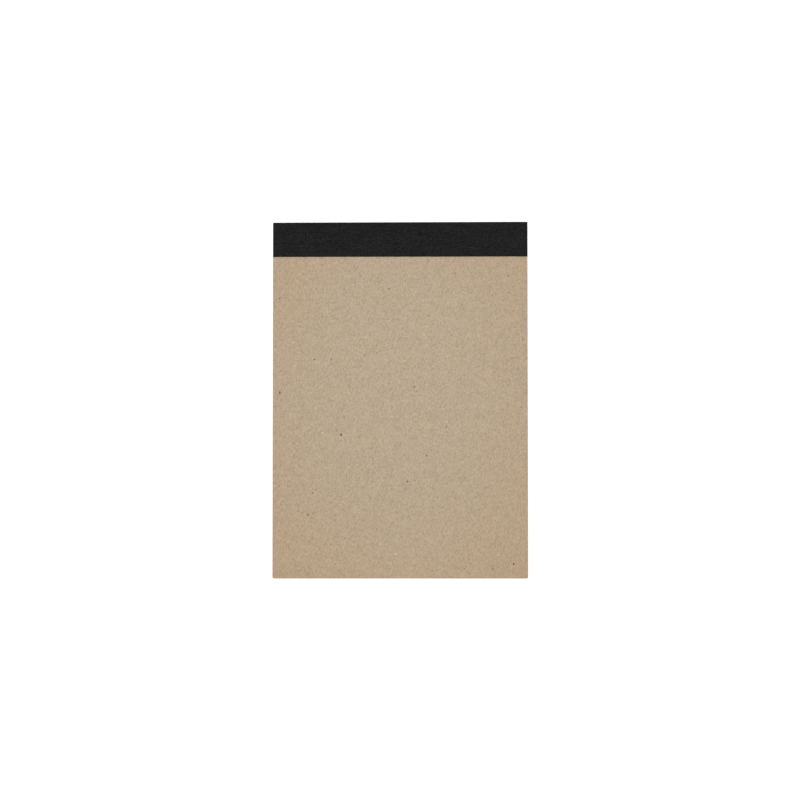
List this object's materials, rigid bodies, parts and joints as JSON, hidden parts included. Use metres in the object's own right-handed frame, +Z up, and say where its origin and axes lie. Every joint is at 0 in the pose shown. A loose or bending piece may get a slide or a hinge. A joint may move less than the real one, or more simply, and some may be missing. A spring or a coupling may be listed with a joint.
{
  "type": "notepad",
  "caption": "Blank tear-off notepad with kraft boards front and back, and black book cloth folded round its glued head as the cover's hinge.",
  "frame": {"origin": "centre of the pad's outline, on the table that its back lies on", "axes": "+X to the right across the page, +Y up the page to the taped head, +Z up from the table out of the front cover"},
  "size_m": [0.1, 0.14, 0.0085],
  "materials": {
    "kraft_board": "matte",
    "page_paper": "matte",
    "padding_glue": "satin",
    "book_cloth": "matte"
  },
  "bodies": {
    "pad": {"back_board": "kraft_board", "page_block": "page_paper", "head_glue": "padding_glue", "tape_spine": "book_cloth"},
    "cover": {"front_cover": "kraft_board", "tape_front": "book_cloth"}
  },
  "joints": [
    {"name": "cover_hinge", "type": "hinge", "parent": "pad", "child": "cover", "pos_m": [0, 0.07005, 0.00755], "axis": [-1, 0, 0], "range_deg": [0, 180]}
  ]
}
